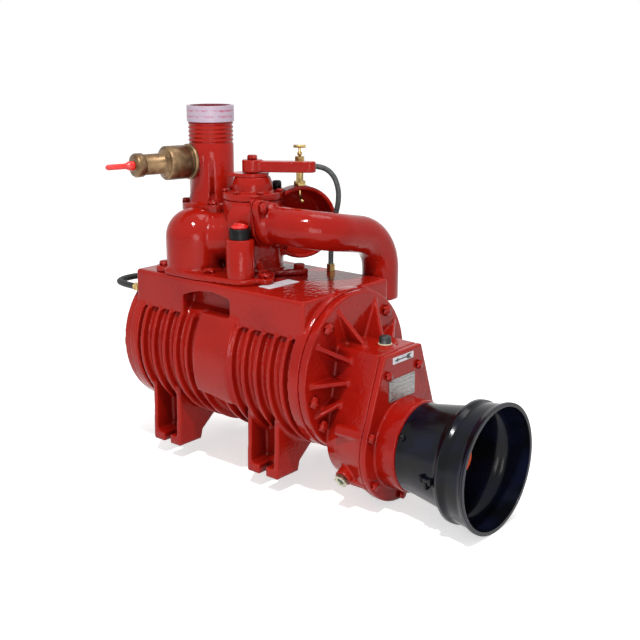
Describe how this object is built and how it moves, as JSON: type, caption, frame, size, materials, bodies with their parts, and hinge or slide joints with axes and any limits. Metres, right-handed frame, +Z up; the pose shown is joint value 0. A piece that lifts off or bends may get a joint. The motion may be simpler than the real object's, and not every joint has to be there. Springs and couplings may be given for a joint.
{
  "type": "rotary vane vacuum pump",
  "caption": "Red cast-iron rotary vane vacuum pump with a step-up gearbox, guarded drive shaft, changeover valve, brass relief valve, check valve and oil tank.",
  "frame": {"origin": "on the foot plane, at the centre of the four feet", "axes": "+X along the shafts towards the drive end, +Z up, +Y across, away from the side with the filler"},
  "size_m": [0.7425, 0.3653, 0.6006],
  "materials": {
    "paint": "glossy deep red enamel over cast iron",
    "paint_bolt": "red painted bolts",
    "shield": "gloss black moulded plastic",
    "black": "black plastic",
    "brass": "dull cast brass",
    "brass_small": "machined brass",
    "steel": "machined steel",
    "bearing": "ground bearing steel",
    "iron": "machined cast iron",
    "red_plastic": "bright red plastic",
    "orange_plastic": "orange-red plastic",
    "white_plastic": "translucent pinkish white plastic",
    "hose": "dark grey rubber hose",
    "rubber": "black rubber",
    "plate": "bare stamped plate",
    "gasket": "fibre gasket",
    "vane": "aramid fibre vane"
  },
  "bodies": {
    "pump": {"housing": "paint", "front_cover": "paint", "rear_cover": "paint", "rear_bearing_cap": "paint", "rear_cap_bolts": "paint_bolt", "front_cover_bolts": "paint_bolt", "rear_cover_bolts": "paint_bolt", "gearbox_cover": "paint", "gearbox_cover_bolts": "paint_bolt", "breather_plug": "black", "level_plug": "brass_small", "pto_shield": "shield", "shield_screws": "steel", "name_plate": "plate", "rotor_bearing_front": "bearing", "rotor_bearing_rear": "bearing", "input_bearing_rear": "bearing", "input_bearing_front": "bearing", "input_seal": "rubber", "valve_body": "paint", "valve_body_bolts": "paint_bolt", "valve_cover": "paint", "valve_cover_bolts": "paint_bolt", "vent_plug": "black", "index_plate": "paint", "tank_port": "paint", "tank_port_bolts": "paint_bolt", "thread_cap": "white_plastic", "relief_body": "brass", "relief_bonnet": "brass", "relief_spring": "steel", "outlet_elbow": "paint", "elbow_gasket": "gasket", "elbow_bolts": "paint_bolt", "ball_seat": "brass_small", "filler_neck": "paint", "filler_collar": "black", "drip_pipe": "brass_small", "tap_body": "brass_small", "tap_nut": "brass_small", "hose_fittings": "brass_small", "oil_hose_front": "hose", "oil_hose_rear": "hose"},
    "rotor_set": {"rotor_shaft": "steel", "rotor": "iron", "vanes": "vane", "pinion": "steel"},
    "input_set": {"input_shaft": "steel", "gear_wheel": "steel", "spline_cap": "orange_plastic"},
    "changeover": {"valve_plug": "iron", "lever": "paint", "lever_bolt": "paint_bolt"},
    "relief": {"relief_poppet": "brass_small", "relief_tip": "red_plastic"},
    "ball": {"check_ball": "rubber"},
    "oil_cap": {"filler_cap": "red_plastic"},
    "tap": {"tap_handle": "brass_small"}
  },
  "joints": [
    {"name": "input_spin", "type": "hinge", "parent": "pump", "child": "input_set", "pos_m": [0.26, 0, 0.075], "axis": [1, 0, 0], "continuous": true},
    {"name": "rotor_spin", "type": "hinge", "parent": "pump", "child": "rotor_set", "pos_m": [0.015, 0, 0.174], "axis": [1, 0, 0], "continuous": true},
    {"name": "changeover_turn", "type": "hinge", "parent": "pump", "child": "changeover", "pos_m": [0, 0, 0.475], "axis": [0, 0, 1], "range_deg": [-90, 0]},
    {"name": "relief_lift", "type": "slide", "parent": "pump", "child": "relief", "axis": [-0.2419, -0.9703, 0], "range_m": [0, 0.006], "stiffness_N_per_m": 2500, "springref_m": -0.004, "deforming": ["relief_spring"]},
    {"name": "ball_lift", "type": "slide", "parent": "pump", "child": "ball", "axis": [0, 0, 1], "range_m": [0, 0.018]},
    {"name": "oil_cap_turn", "type": "hinge", "parent": "pump", "child": "oil_cap", "pos_m": [0.039, -0.073, 0.391], "axis": [0, 0, 1], "range_deg": [0, 360]},
    {"name": "tap_turn", "type": "hinge", "parent": "pump", "child": "tap", "pos_m": [0.04488, 0.067, 0.49], "axis": [0, 0, 1], "range_deg": [0, 360]}
  ],
  "couplings": [
    {"joint": "input_spin", "follows": "rotor_spin", "ratio": -0.43478}
  ]
}
